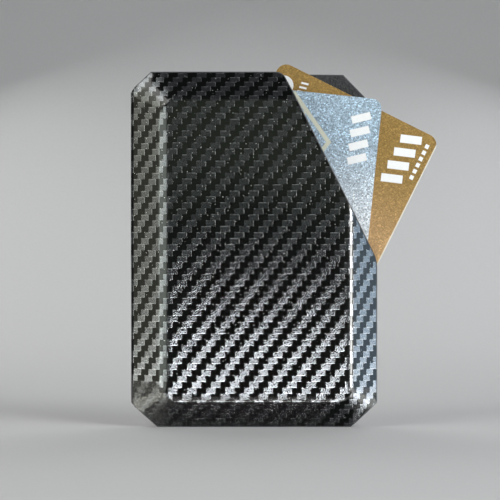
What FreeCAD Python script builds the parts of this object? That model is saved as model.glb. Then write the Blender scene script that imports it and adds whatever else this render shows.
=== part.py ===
import FreeCAD, Part
import math
import os

# A money clip made from one moulded sheet of carbon-look plastic.  The sheet is
# folded along its left edge.  The front leaf is pressed out into a card pocket
# with four sloping walls, and a long diagonal cut opens it at the top right.
# A spring steel clip for notes is screwed to the back leaf, and two cards
# stand fanned in the pocket.
#
# Millimetres.  +X points from the fold to the open edge, +Z to the card mouth
# and +Y out of the back.  The origin is on the back leaf's bottom edge, in the
# middle of the shell's width and of the sheet's thickness.  "Depth" is measured
# forwards, towards -Y, from the back leaf's inner face.

Vec = FreeCAD.Vector

# Shell: overall size and sheet
SHELL_WIDTH = 75.0
SHELL_HEIGHT = 108.0
SHEET = 1.5
RIM_GAP = 1.9
FACE_DEPTH = 9.6

# Shell: how far the raised face's edges lie inside the outline
FACE_MARGIN_LEFT = 10.4
FACE_MARGIN_RIGHT = 8.1
FACE_MARGIN_TOP = 8.3
FACE_MARGIN_BOTTOM = 8.0
FACE_CORNER_RADIUS = 4.0
BASE_CORNER_RADIUS = 9.5
OUTER_BEND_RADIUS = 2.2

# Shell: corner chamfers, as (width along X, height along Z)
CHAMFER_TOP_LEFT = (6.2, 5.8)
CHAMFER_BOTTOM_LEFT = (8.2, 7.2)
CHAMFER_BOTTOM_RIGHT = (8.0, 7.5)
CHAMFER_TOP_RIGHT = (10.1, 10.4)

# Back leaf: its top edge slopes down this much by the top right chamfer
BACK_TOP_DROP = 0.7

# Front leaf: the diagonal cut takes this much off the top and the open edge
CUT_TOP_WIDTH = 28.8
CUT_SIDE_HEIGHT = 57.2
CUT_TOP_RADIUS = 3.0
CUT_SIDE_RADIUS = 9.0

# Payment cards (ID-1 format)
CARD_LENGTH = 85.6
CARD_WIDTH = 53.98
CARD_THICKNESS = 0.76
CARD_CORNER_RADIUS = 3.18
CARD_CLEARANCE = 0.06
CHIP_FROM_END = 15.1
CHIP_FROM_SIDE = 23.9
CHIP_WIDTH = 11.8
CHIP_LENGTH = 13.0
CHIP_PLATE = 0.2
CHIP_CORNER_RADIUS = 1.6
CHIP_CORE_SIZE = 8.0
CHIP_CORE_DEPTH = 0.6
STRIPE_FROM_SIDE = 4.3
STRIPE_WIDTH = 12.7
STRIPE_THICKNESS = 0.1

# How the two cards stand: the gold one is turned about a point near its lower
# right corner, and the silver one leans and slides along its own length
FAN_PIVOT_X = 22.9
FAN_PIVOT_Z = 31.2
GOLD_FAN_ANGLE = 26.5
SILVER_CENTRE_X = 8.0
SILVER_CENTRE_Z = 59.85
SILVER_TILT = 5.9

# Note clip on the back: a bent strip of spring steel
CLIP_STEEL = 0.8
CLIP_CENTRE_Z = 56.0
CLIP_FOOT_WIDTH = 20.0
CLIP_TIP_WIDTH = 15.0
CLIP_START_X = -32.0
CLIP_FOOT_END_X = -19.5
CLIP_ROOT_X = -18.0
CLIP_CREST_X = -12.5
CLIP_MIDDLE_X = 8.0
CLIP_CONTACT_X = 24.0
CLIP_TIP_X = 31.5
CLIP_CREST_RISE = 3.2
CLIP_MIDDLE_RISE = 2.7
CLIP_CONTACT_RISE = 0.1
CLIP_TIP_RISE = 2.6
CLIP_CORNER_RADIUS = 3.0
CLIP_TIP_CORNER_RADIUS = 4.5

# Note clip: the radius of each bend along the strip's middle
CLIP_ROOT_BEND = 4.0
CLIP_CREST_BEND = 4.5
CLIP_MIDDLE_BEND = 110.0
CLIP_CONTACT_BEND = 6.0

# Screw posts: a flat-headed post sunk in the inner face, and a button-head screw
SCREW_SPACING = 11.0
SCREW_FROM_CLIP_START = 5.6
POST_HEAD_RADIUS = 4.0
POST_HEAD_THICKNESS = 0.6
POST_RADIUS = 2.2
POST_HOLE_CLEARANCE = 0.1
POST_SHORTFALL = 0.15
POST_FLOOR = 0.5
POST_SLOT_WIDTH = 0.8
POST_SLOT_DEPTH = 0.25
THREAD_RADIUS = 1.5
THREAD_CLEARANCE = 0.05
SCREW_HEAD_RADIUS = 3.3
SCREW_HEAD_HEIGHT = 1.5
SCREW_HEAD_RIM = 0.45
SCREW_LENGTH = 1.4
HEX_ACROSS_FLATS = 2.0
HEX_DEPTH = 0.9

# Worked out from the above
LEFT_X = -SHELL_WIDTH / 2
RIGHT_X = SHELL_WIDTH / 2
INNER_FACE_Y = -SHEET / 2
BACK_FACE_Y = SHEET / 2
FOLD_INNER_RADIUS = RIM_GAP / 2
FOLD_OUTER_RADIUS = FOLD_INNER_RADIUS + SHEET
FOLD_X = LEFT_X + FOLD_OUTER_RADIUS
FACE_LEFT_X = LEFT_X + FACE_MARGIN_LEFT
FACE_RIGHT_X = RIGHT_X - FACE_MARGIN_RIGHT
FACE_TOP_Z = SHELL_HEIGHT - FACE_MARGIN_TOP
FACE_BOTTOM_Z = FACE_MARGIN_BOTTOM
FLANGE_DEPTH = RIM_GAP + SHEET
CUT_TOP_X = RIGHT_X - CUT_TOP_WIDTH
CUT_SIDE_Z = SHELL_HEIGHT - CUT_SIDE_HEIGHT
SCREW_X = CLIP_START_X + SCREW_FROM_CLIP_START
SCREW_HEIGHTS = {
    "upper": CLIP_CENTRE_Z + SCREW_SPACING / 2,
    "lower": CLIP_CENTRE_Z - SCREW_SPACING / 2,
}
CLIP_OUTER_Y = BACK_FACE_Y + CLIP_STEEL

# Cutting blocks reach this far past what they cut
PAST = 100.0

# Points nearer each other than this are the same point
TOUCHING = 1e-6


def y_at(depth):
    """The Y of a point at this depth in front of the back leaf's inner face."""
    return INNER_FACE_Y - depth


def trimmed_wall_angle(run):
    """Slope of a wall that falls from the raised face to a trimmed rim, run away."""
    rise = FACE_DEPTH - RIM_GAP
    return math.acos(SHEET / math.hypot(rise, run)) - math.atan2(run, rise)


def folded_wall_angle():
    """Slope of the left wall, which leaves the fold's outer round tangentially."""
    run = FACE_LEFT_X - FOLD_X
    rise = FACE_DEPTH - FOLD_INNER_RADIUS
    return math.atan2(rise, run) - math.asin(FOLD_OUTER_RADIUS / math.hypot(rise, run))


LEFT_WALL = folded_wall_angle()
RIGHT_WALL = trimmed_wall_angle(FACE_MARGIN_RIGHT)
TOP_WALL = trimmed_wall_angle(FACE_MARGIN_TOP)
BOTTOM_WALL = trimmed_wall_angle(FACE_MARGIN_BOTTOM)


# ---- drawing helpers


def line(a, b):
    return Part.LineSegment(a, b).toShape()


def rounded_wire(points, radii, closed=True):
    """Straight runs through points, with a tangent arc of each point's radius."""
    count = len(points)
    corners = []
    for i, point in enumerate(points):
        is_end = not closed and i in (0, count - 1)
        if is_end or radii[i] == 0:
            corners.append((point, None, point))
            continue
        before = (points[i - 1] - point).normalize()
        after = (points[(i + 1) % count] - point).normalize()
        half_angle = before.getAngle(after) / 2
        setback = radii[i] / math.tan(half_angle)
        bisector = (before + after).normalize()
        middle = point + bisector * (radii[i] / math.sin(half_angle) - radii[i])
        corners.append((point + before * setback, middle, point + after * setback))
    edges = []
    last = count if closed else count - 1
    for i in range(count):
        start, middle, end = corners[i]
        if middle is not None:
            edges.append(Part.Arc(start, middle, end).toShape())
        following = corners[(i + 1) % count][0]
        if i < last and end.distanceToPoint(following) > TOUCHING:
            edges.append(line(end, following))
    return Part.Wire(edges)


def prism_along_y(points, radii, y_low, y_high):
    """A solid with a rounded outline in X and Z, from y_low to y_high."""
    outline = [Vec(x, y_low, z) for x, z in points]
    face = Part.Face(rounded_wire(outline, radii))
    return face.extrude(Vec(0, y_high - y_low, 0))


def block(x_low, x_high, y_low, y_high, z_low, z_high):
    size = (x_high - x_low, y_high - y_low, z_high - z_low)
    return Part.makeBox(*size, Vec(x_low, y_low, z_low))


def disc(radius, x, z, y_low, y_high):
    """A cylinder along Y."""
    return Part.makeCylinder(radius, y_high - y_low, Vec(x, y_low, z), Vec(0, 1, 0))


# ---- shell


def leaf_outline(top_right, top_right_radii):
    """Outline points and radii of a leaf, given those of its top right corner."""
    points = [
        (LEFT_X + CHAMFER_BOTTOM_LEFT[0], 0),
        (RIGHT_X - CHAMFER_BOTTOM_RIGHT[0], 0),
        (RIGHT_X, CHAMFER_BOTTOM_RIGHT[1]),
        *top_right,
        (LEFT_X + CHAMFER_TOP_LEFT[0], SHELL_HEIGHT),
        (LEFT_X, SHELL_HEIGHT - CHAMFER_TOP_LEFT[1]),
        (LEFT_X, CHAMFER_BOTTOM_LEFT[1]),
    ]
    radii = [0, 0, 0, *top_right_radii, 0, 0, 0]
    return points, radii


def front_outline():
    top_right = [(RIGHT_X, CUT_SIDE_Z), (CUT_TOP_X, SHELL_HEIGHT)]
    return leaf_outline(top_right, [CUT_SIDE_RADIUS, CUT_TOP_RADIUS])


def back_outline():
    top_z = SHELL_HEIGHT - BACK_TOP_DROP
    top_right = [
        (RIGHT_X, top_z - CHAMFER_TOP_RIGHT[1]),
        (RIGHT_X - CHAMFER_TOP_RIGHT[0], top_z),
    ]
    return leaf_outline(top_right, [0, 0])


def pocket_level(depth, inset):
    """The pocket walls' outline at one depth, moved in by inset from their outside."""

    def reach(angle):
        return (FACE_DEPTH - depth) / math.tan(angle) - inset / math.sin(angle)

    low_x = FACE_LEFT_X - reach(LEFT_WALL)
    high_x = FACE_RIGHT_X + reach(RIGHT_WALL)
    low_z = FACE_BOTTOM_Z - reach(BOTTOM_WALL)
    high_z = FACE_TOP_Z + reach(TOP_WALL)
    growth = (BASE_CORNER_RADIUS - FACE_CORNER_RADIUS) / (FACE_DEPTH - FLANGE_DEPTH)
    outer_radius = FACE_CORNER_RADIUS + growth * (FACE_DEPTH - depth)
    radius = outer_radius - inset / math.sin(RIGHT_WALL)
    corners = [(low_x, low_z), (high_x, low_z), (high_x, high_z), (low_x, high_z)]
    return rounded_wire([Vec(x, y_at(depth), z) for x, z in corners], [radius] * 4)


def pocket_form(low_depth, top_depth, inset, bend_radius):
    """The raised pocket as a solid: four sloping walls and a flat face."""
    levels = [pocket_level(depth, inset) for depth in (low_depth, top_depth)]
    form = Part.makeLoft(levels, True, True)
    face_y = y_at(top_depth)
    bends = [
        edge for edge in form.Edges
        if all(abs(vertex.Y - face_y) < TOUCHING for vertex in edge.Vertexes)
    ]
    return form.makeFillet(bend_radius, bends)


def fold_sector(start_angle, end_angle):
    """Part of the folded sheet's round, between two angles from +X towards +Y."""
    axis_y = y_at(FOLD_INNER_RADIUS)

    def on_fold(radius, angle):
        return Vec(FOLD_X + radius * math.cos(angle), axis_y + radius * math.sin(angle), 0)

    middle_angle = (start_angle + end_angle) / 2
    edges = []
    for radius in (FOLD_INNER_RADIUS, FOLD_OUTER_RADIUS):
        arc = Part.Arc(*[on_fold(radius, a) for a in (start_angle, middle_angle, end_angle)])
        edges.append(arc.toShape())
    for angle in (start_angle, end_angle):
        edges.append(line(on_fold(FOLD_INNER_RADIUS, angle), on_fold(FOLD_OUTER_RADIUS, angle)))
    outline = Part.Wire(Part.__sortEdges__(edges))
    return Part.Face(outline).extrude(Vec(0, 0, SHELL_HEIGHT))


FOLD_START = math.pi / 2
FOLD_END = 3 * math.pi / 2
SEAM_ANGLE = FOLD_END - LEFT_WALL


def make_spine_fold():
    """The round of the fold, from the back leaf to where the left wall leaves it."""
    points, radii = back_outline()
    outline = prism_along_y(points, radii, y_at(FACE_DEPTH), BACK_FACE_Y)
    return fold_sector(FOLD_START, SEAM_ANGLE).common(outline)


def in_front_of_seam():
    """Everything on the front leaf's side of the seam between it and the fold."""
    reach = block(0, PAST, -PAST, PAST, 0, SHELL_HEIGHT)
    reach.rotate(Vec(0, 0, 0), Vec(0, 0, 1), math.degrees(-LEFT_WALL))
    reach.translate(Vec(FOLD_X, y_at(FOLD_INNER_RADIUS), 0))
    return reach


def make_front_leaf():
    """The pressed leaf: pocket walls and face, with a flat flange at each corner."""
    lowest = FOLD_INNER_RADIUS * (1 + math.cos(LEFT_WALL))
    outside = pocket_form(lowest, FACE_DEPTH, 0, OUTER_BEND_RADIUS)
    inside = pocket_form(0, FACE_DEPTH - SHEET, SHEET, OUTER_BEND_RADIUS - SHEET)
    flange = block(FOLD_X, RIGHT_X, y_at(FLANGE_DEPTH), y_at(RIM_GAP), 0, SHELL_HEIGHT)
    between_leaves = block(
        FOLD_X, RIGHT_X + PAST, y_at(RIM_GAP), PAST, -PAST, SHELL_HEIGHT + PAST,
    )
    leaf = outside.fuse([flange, fold_sector(SEAM_ANGLE, FOLD_END)])
    leaf = leaf.cut(inside).cut(between_leaves)
    points, radii = front_outline()
    leaf = leaf.common(prism_along_y(points, radii, y_at(FACE_DEPTH) - PAST, BACK_FACE_Y))
    return leaf.common(in_front_of_seam()).removeSplitter()


def make_back_leaf():
    """The flat leaf, bored and counterbored for the two screw posts."""
    points, radii = back_outline()
    leaf = prism_along_y(points, radii, INNER_FACE_Y, BACK_FACE_Y)
    leaf = leaf.common(block(FOLD_X, RIGHT_X, INNER_FACE_Y, BACK_FACE_Y, 0, SHELL_HEIGHT))
    for z in SCREW_HEIGHTS.values():
        hole = disc(POST_RADIUS + POST_HOLE_CLEARANCE, SCREW_X, z, INNER_FACE_Y, BACK_FACE_Y)
        recess = disc(
            POST_HEAD_RADIUS + POST_HOLE_CLEARANCE, SCREW_X, z,
            INNER_FACE_Y, INNER_FACE_Y + POST_HEAD_THICKNESS,
        )
        leaf = leaf.cut([hole, recess])
    return leaf


# ---- note clip


def clip_outline():
    """The strip's outline seen from behind, tapering from the foot to the tip."""
    foot = CLIP_FOOT_WIDTH / 2
    tip = CLIP_TIP_WIDTH / 2
    points = [
        (CLIP_START_X, CLIP_CENTRE_Z - foot),
        (CLIP_FOOT_END_X, CLIP_CENTRE_Z - foot),
        (CLIP_TIP_X, CLIP_CENTRE_Z - tip),
        (CLIP_TIP_X, CLIP_CENTRE_Z + tip),
        (CLIP_FOOT_END_X, CLIP_CENTRE_Z + foot),
        (CLIP_START_X, CLIP_CENTRE_Z + foot),
    ]
    foot_end = [CLIP_CORNER_RADIUS, 0, CLIP_TIP_CORNER_RADIUS]
    return points, foot_end + foot_end[::-1]


def offset_path(path, distance):
    """The path's corners after every run is moved sideways by distance."""
    normals = []
    for a, b in zip(path, path[1:]):
        along = (b - a).normalize()
        normals.append(Vec(-along.y, along.x, 0))
    moved = [path[0] + normals[0] * distance]
    for corner, before, after in zip(path[1:-1], normals, normals[1:]):
        moved.append(corner + (before + after) * (distance / (1 + before.dot(after))))
    moved.append(path[-1] + normals[-1] * distance)
    return moved


def bent_strip():
    """The whole clip as a strip of constant thickness, bent along its length."""
    rests_at = BACK_FACE_Y + CLIP_STEEL / 2
    path = [
        Vec(CLIP_START_X, rests_at, 0),
        Vec(CLIP_ROOT_X, rests_at, 0),
        Vec(CLIP_CREST_X, rests_at + CLIP_CREST_RISE, 0),
        Vec(CLIP_MIDDLE_X, rests_at + CLIP_MIDDLE_RISE, 0),
        Vec(CLIP_CONTACT_X, rests_at + CLIP_CONTACT_RISE, 0),
        Vec(CLIP_TIP_X, rests_at + CLIP_TIP_RISE, 0),
    ]
    # Radius of each bend's middle line, and the side that it curls towards
    bends = [
        (0, 0), (CLIP_ROOT_BEND, 1), (CLIP_CREST_BEND, -1),
        (CLIP_MIDDLE_BEND, -1), (CLIP_CONTACT_BEND, 1), (0, 0),
    ]
    sides = []
    for distance in (-CLIP_STEEL / 2, CLIP_STEEL / 2):
        radii = [radius - curl * distance for radius, curl in bends]
        sides.append(rounded_wire(offset_path(path, distance), radii, closed=False))
    inner, outer = sides
    ends = [
        line(inner.OrderedVertexes[i].Point, outer.OrderedVertexes[i].Point)
        for i in (0, -1)
    ]
    section = Part.Face(Part.Wire(Part.__sortEdges__([*inner.Edges, *outer.Edges, *ends])))
    strip = section.extrude(Vec(0, 0, SHELL_HEIGHT))
    points, radii = clip_outline()
    return strip.common(prism_along_y(points, radii, 0, PAST))


def make_clip_foot():
    """The clip's flat end, clamped by the screws."""
    foot = bent_strip().common(block(CLIP_START_X, CLIP_FOOT_END_X, 0, PAST, 0, SHELL_HEIGHT))
    for z in SCREW_HEIGHTS.values():
        foot = foot.cut(disc(POST_RADIUS + POST_HOLE_CLEARANCE, SCREW_X, z, 0, PAST))
    return foot


def make_clip_arm():
    """The clip's springing part, from its first bend to its turned-up tip."""
    return bent_strip().common(block(CLIP_FOOT_END_X, CLIP_TIP_X + PAST, 0, PAST, 0, SHELL_HEIGHT))


def make_screw_post(z):
    """A post with a flat head, slotted across and bored blind from behind."""
    head_top = INNER_FACE_Y + POST_HEAD_THICKNESS
    post_end = CLIP_OUTER_Y - POST_SHORTFALL
    post = disc(POST_HEAD_RADIUS, SCREW_X, z, INNER_FACE_Y, head_top)
    post = post.fuse(disc(POST_RADIUS, SCREW_X, z, INNER_FACE_Y, post_end))
    post = post.cut(disc(THREAD_RADIUS, SCREW_X, z, INNER_FACE_Y + POST_FLOOR, post_end))
    half_slot = POST_SLOT_WIDTH / 2
    slot = block(
        SCREW_X - POST_HEAD_RADIUS, SCREW_X + POST_HEAD_RADIUS,
        INNER_FACE_Y, INNER_FACE_Y + POST_SLOT_DEPTH, z - half_slot, z + half_slot,
    )
    return post.cut(slot).removeSplitter()


def make_clip_screw(z):
    """A button-head screw with a hexagon socket."""
    crown = Vec(0, CLIP_OUTER_Y + SCREW_HEAD_HEIGHT, 0)
    rim = Vec(SCREW_HEAD_RADIUS, CLIP_OUTER_Y + SCREW_HEAD_RIM, 0)
    # The dome is the arc through the rim that is level at the crown
    rise = crown.y - rim.y
    dome_radius = (SCREW_HEAD_RADIUS ** 2 + rise ** 2) / (2 * rise)
    half_angle = math.asin(SCREW_HEAD_RADIUS / dome_radius) / 2
    shoulder = Vec(
        dome_radius * math.sin(half_angle),
        crown.y - dome_radius * (1 - math.cos(half_angle)), 0,
    )
    tip_y = CLIP_OUTER_Y - SCREW_LENGTH
    shank = THREAD_RADIUS - THREAD_CLEARANCE
    outline = Part.Wire([
        Part.Arc(crown, shoulder, rim).toShape(),
        line(rim, Vec(SCREW_HEAD_RADIUS, CLIP_OUTER_Y, 0)),
        line(Vec(SCREW_HEAD_RADIUS, CLIP_OUTER_Y, 0), Vec(shank, CLIP_OUTER_Y, 0)),
        line(Vec(shank, CLIP_OUTER_Y, 0), Vec(shank, tip_y, 0)),
        line(Vec(shank, tip_y, 0), Vec(0, tip_y, 0)),
        line(Vec(0, tip_y, 0), crown),
    ])
    screw = Part.Face(outline).revolve(Vec(0, 0, 0), Vec(0, 1, 0), 360)
    corner_radius = HEX_ACROSS_FLATS / 2 / math.cos(math.pi / 6)
    corner_angles = [i * math.pi / 3 for i in range(6)]
    hexagon = [(corner_radius * math.cos(a), corner_radius * math.sin(a)) for a in corner_angles]
    screw = screw.cut(prism_along_y(hexagon, [0] * 6, crown.y - HEX_DEPTH, crown.y + PAST))
    screw.translate(Vec(SCREW_X, 0, z))
    return screw


# ---- cards, made standing upright about the origin, then placed


def card_blank(front_y):
    half_width = CARD_WIDTH / 2
    half_length = CARD_LENGTH / 2
    points = [
        (-half_width, -half_length), (half_width, -half_length),
        (half_width, half_length), (-half_width, half_length),
    ]
    return prism_along_y(points, [CARD_CORNER_RADIUS] * 4, front_y, front_y + CARD_THICKNESS)


def card_chip(front_y):
    """A contact plate let into the card's face, with its moulded core behind it."""
    x = CHIP_FROM_SIDE - CARD_WIDTH / 2
    z = CHIP_FROM_END - CARD_LENGTH / 2
    half_width = CHIP_WIDTH / 2
    half_length = CHIP_LENGTH / 2
    plate_points = [
        (x - half_width, z - half_length), (x + half_width, z - half_length),
        (x + half_width, z + half_length), (x - half_width, z + half_length),
    ]
    plate = prism_along_y(plate_points, [CHIP_CORNER_RADIUS] * 4, front_y, front_y + CHIP_PLATE)
    half_core = CHIP_CORE_SIZE / 2
    core = block(
        x - half_core, x + half_core, front_y, front_y + CHIP_CORE_DEPTH,
        z - half_core, z + half_core,
    )
    return plate.fuse(core).removeSplitter()


def card_stripe(front_y):
    """The magnetic tape let into the card's back, along its whole length."""
    x = STRIPE_FROM_SIDE - CARD_WIDTH / 2
    back_y = front_y + CARD_THICKNESS
    half_length = CARD_LENGTH / 2
    return block(
        x, x + STRIPE_WIDTH, back_y - STRIPE_THICKNESS, back_y, -half_length, half_length,
    )


def make_card(place, layer):
    """A card's body, chip and stripe, in its layer forwards from the back leaf."""
    depth = CARD_CLEARANCE + layer * (CARD_THICKNESS + CARD_CLEARANCE)
    front_y = y_at(depth + CARD_THICKNESS)
    chip = card_chip(front_y)
    stripe = card_stripe(front_y)
    body = card_blank(front_y).cut([chip, stripe])
    pieces = {"": body, "_chip": chip, "_magnetic_stripe": stripe}
    for piece in pieces.values():
        place(piece)
    return pieces


def place_gold(piece):
    """Stowed in the middle of the raised face, then fanned out about the pivot."""
    centre = Vec((FACE_LEFT_X + FACE_RIGHT_X) / 2, 0, (FACE_BOTTOM_Z + FACE_TOP_Z) / 2)
    piece.translate(centre)
    piece.rotate(Vec(FAN_PIVOT_X, 0, FAN_PIVOT_Z), Vec(0, 1, 0), GOLD_FAN_ANGLE)


def place_silver(piece):
    piece.rotate(Vec(0, 0, 0), Vec(0, 1, 0), SILVER_TILT)
    piece.translate(Vec(SILVER_CENTRE_X, 0, SILVER_CENTRE_Z))


# ---- everything


def make_all():
    nodes = {
        "front_leaf": make_front_leaf(),
        "spine_fold": make_spine_fold(),
        "back_leaf": make_back_leaf(),
        "clip_foot": make_clip_foot(),
        "clip_arm": make_clip_arm(),
    }
    for name, z in SCREW_HEIGHTS.items():
        nodes[name + "_clip_screw"] = make_clip_screw(z)
        nodes[name + "_screw_post"] = make_screw_post(z)
    cards = [("gold_card", place_gold), ("silver_card", place_silver)]
    for layer, (name, place) in enumerate(cards):
        for suffix, piece in make_card(place, layer).items():
            nodes[name + suffix] = piece
    return nodes


os.makedirs("parts", exist_ok=True)
for node, shape in make_all().items():
    solid_count = len(shape.Solids)
    print(f"{node}: {solid_count} solid, {shape.Volume:.1f} mm3, valid {shape.isValid()}")
    shape.exportStep(os.path.join("parts", node + ".step"))
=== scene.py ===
import math
from functools import partialmethod
from itertools import product

import bpy
import numpy as np
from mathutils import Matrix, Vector
from mathutils.geometry import delaunay_2d_cdt


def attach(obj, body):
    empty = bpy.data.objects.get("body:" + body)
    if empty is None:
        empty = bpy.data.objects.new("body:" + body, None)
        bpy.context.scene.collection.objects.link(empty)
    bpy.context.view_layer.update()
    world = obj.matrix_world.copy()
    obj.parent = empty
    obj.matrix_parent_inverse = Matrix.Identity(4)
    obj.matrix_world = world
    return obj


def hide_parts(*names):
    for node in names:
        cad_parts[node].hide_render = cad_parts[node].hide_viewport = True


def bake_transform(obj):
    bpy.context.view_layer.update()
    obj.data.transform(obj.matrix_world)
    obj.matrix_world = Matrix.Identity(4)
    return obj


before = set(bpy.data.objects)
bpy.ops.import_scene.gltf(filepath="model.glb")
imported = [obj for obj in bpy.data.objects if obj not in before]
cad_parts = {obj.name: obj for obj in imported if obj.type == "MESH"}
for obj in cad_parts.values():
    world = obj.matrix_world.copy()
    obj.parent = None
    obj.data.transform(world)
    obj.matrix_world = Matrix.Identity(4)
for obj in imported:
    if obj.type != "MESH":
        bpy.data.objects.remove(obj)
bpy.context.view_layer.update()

# The looks of a carbon-look money clip.  Shapes are worked out in millimetres in
# the CAD frame: +X towards the open edge, +Z up to the card mouth, +Y out of the
# back.  The moulded sheet, the spring clip and the prints are meshes made here.
# Cards, chips, stripes, screws and posts are the CAD's own solids.

MM = 0.001

# The shell's driving sizes, as in the CAD source
SHELL_WIDTH = 75.0
SHELL_HEIGHT = 108.0
SHEET = 1.5
RIM_GAP = 1.9
FACE_DEPTH = 9.6
FACE_MARGIN_LEFT = 10.4
FACE_MARGIN_RIGHT = 8.1
FACE_MARGIN_TOP = 8.3
FACE_MARGIN_BOTTOM = 8.0
FACE_CORNER_RADIUS = 4.0
BASE_CORNER_RADIUS = 9.5
CHAMFER_TOP_LEFT = (6.2, 5.8)
CHAMFER_BOTTOM_LEFT = (8.2, 7.2)
CHAMFER_BOTTOM_RIGHT = (8.0, 7.5)
CHAMFER_TOP_RIGHT = (10.1, 10.4)
BACK_TOP_DROP = 0.7
CUT_TOP_WIDTH = 28.8
CUT_SIDE_HEIGHT = 57.2
CUT_TOP_RADIUS = 3.0
CUT_SIDE_RADIUS = 9.0
SCREW_X = -26.4
SCREW_HEIGHTS = (50.5, 61.5)
POST_RECESS_RADIUS = 4.1
POST_RECESS_DEPTH = 0.6
POST_HOLE_RADIUS = 2.3
POST_RADII = (POST_RECESS_RADIUS, POST_HOLE_RADIUS)

# How softly the sheet's bends are moulded, as the radius of each
LEFT_BEND_RADIUS = 6.0
RIGHT_BEND_RADIUS = 4.2
END_BEND_RADIUS = 0.5
INNER_BEND_RADIUS = 0.8
FLANGE_BEND_RADIUS = 3.0
RIM_RADIUS = 0.3
# A blend of two heights turns through a radius this many times its width
RADIUS_PER_BLEND = 3.8
# The left bend's radius gives way to the right bend's between these X
BEND_CHANGE_START_X = -22.0
BEND_CHANGE_END_X = -10.0
# The side bends sharpen between these distances from the pocket's ends
END_BEND_START = 14.0
END_BEND_FULL = 9.0
# How deep the slight hollows in the pressed sheet are
HOLLOW_DEPTH = 0.025

# Worked out from the above
LEFT_X = -SHELL_WIDTH / 2
RIGHT_X = SHELL_WIDTH / 2
INNER_Y = -SHEET / 2
BACK_Y = SHEET / 2
FOLD_INNER_RADIUS = RIM_GAP / 2
FOLD_OUTER_RADIUS = FOLD_INNER_RADIUS + SHEET
FOLD_X = LEFT_X + FOLD_OUTER_RADIUS
FOLD_Y = INNER_Y - FOLD_INNER_RADIUS
FACE_LEFT_X = LEFT_X + FACE_MARGIN_LEFT
FACE_RIGHT_X = RIGHT_X - FACE_MARGIN_RIGHT
FACE_TOP_Z = SHELL_HEIGHT - FACE_MARGIN_TOP
FACE_BOTTOM_Z = FACE_MARGIN_BOTTOM
FLANGE_DEPTH = RIM_GAP + SHEET


def trimmed_wall_angle(run):
    """The slope of a wall whose foot ends in a flange, from its width in plan."""
    rise = FACE_DEPTH - RIM_GAP
    return math.acos(SHEET / math.hypot(rise, run)) - math.atan2(run, rise)


def folded_wall_angle():
    """The slope of the left wall, which leaves the fold's round at a tangent."""
    run = FACE_LEFT_X - FOLD_X
    rise = FACE_DEPTH - FOLD_INNER_RADIUS
    return math.atan2(rise, run) - math.asin(FOLD_OUTER_RADIUS / math.hypot(rise, run))


LEFT_WALL = folded_wall_angle()
RIGHT_WALL = trimmed_wall_angle(FACE_MARGIN_RIGHT)
TOP_WALL = trimmed_wall_angle(FACE_MARGIN_TOP)
BOTTOM_WALL = trimmed_wall_angle(FACE_MARGIN_BOTTOM)
SEAM_ANGLE = 3 * math.pi / 2 - LEFT_WALL
SEAM_X = FOLD_X - FOLD_OUTER_RADIUS * math.sin(LEFT_WALL)


# ---- outlines and triangulated plans, in X and Z


def unit(vectors):
    return vectors / np.linalg.norm(vectors, axis=-1, keepdims=True)


def on_circle(centre, radius, angles):
    return centre + radius * np.stack([np.cos(angles), np.sin(angles)], 1)


def full_circle(centre, radius, sides=40):
    return on_circle(centre, radius, np.arange(sides) * 2 * math.pi / sides)


def rounded_chain(points, radii, step, closed=False):
    """A dense line through points, with an arc of each point's radius at it."""
    corners = []
    for i, radius in enumerate(radii):
        point = np.array(points[i], float)
        if radius == 0:
            corners.append(point[None])
            continue
        before = unit(np.array(points[i - 1], float) - point)
        after = unit(np.array(points[(i + 1) % len(points)], float) - point)
        half = math.acos(before @ after) / 2
        centre = point + unit(before + after) * radius / math.sin(half)
        first = point + before * radius / math.tan(half) - centre
        last = point + after * radius / math.tan(half) - centre
        start = math.atan2(first[1], first[0])
        turn = math.atan2(last[1], last[0]) - start
        turn = (turn + math.pi) % (2 * math.pi) - math.pi
        count = max(2, math.ceil(abs(turn) * radius / step))
        angles = start + turn * np.linspace(0, 1, count + 1)
        corners.append(on_circle(centre, radius, angles))
    chain = np.concatenate(corners)
    following = np.roll(chain, -1, axis=0)
    runs = []
    for a, b in zip(chain, following) if closed else zip(chain[:-1], chain[1:]):
        count = max(1, math.ceil(np.linalg.norm(b - a) / step))
        runs.append(a + (b - a) * (np.arange(count) / count)[:, None])
    if not closed:
        runs.append(chain[-1:])
    return np.concatenate(runs)


def left_normals(chain, closed):
    """The unit normal to the left of each run of a chain."""
    ends = np.roll(chain, -1, axis=0)
    along = unit(ends - chain) if closed else unit(ends[:-1] - chain[:-1])
    return np.stack([-along[:, 1], along[:, 0]], 1)


def mitres(chain, closed=False):
    """Where each point of a chain goes when all its runs move left by a millimetre."""
    normals = left_normals(chain, closed)
    after = normals if closed else np.concatenate([normals, normals[-1:]])
    before = np.roll(normals, 1, axis=0) if closed else np.concatenate([normals[:1], normals])
    return (before + after) / (1 + (before * after).sum(1, keepdims=True))


def inset_moves(chain, closed):
    """The same, but an open chain's ends slide along the seam, which is parallel to Z."""
    moves = mitres(chain, closed)
    if not closed:
        for end in (0, -1):
            moves[end] = (0, 1 / left_normals(chain, closed)[end, 1])
    return moves


def rim_distance(chain, points, closed=False):
    """How far points lie inside a convex chain; less than nothing outside it."""
    nearest = np.full(len(points), np.inf)
    for start, normal in zip(chain, left_normals(chain, closed)):
        nearest = np.minimum(nearest, (points - start) @ normal)
    return nearest


# Insets of the loops along a rim, as shares of its radius
RIM_LOOPS = [1 - math.cos(math.radians(angle)) for angle in (20, 40, 60, 90)]
# How close points lie that are one point, and the area of a sliver
TOLERANCE = 1e-7


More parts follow.
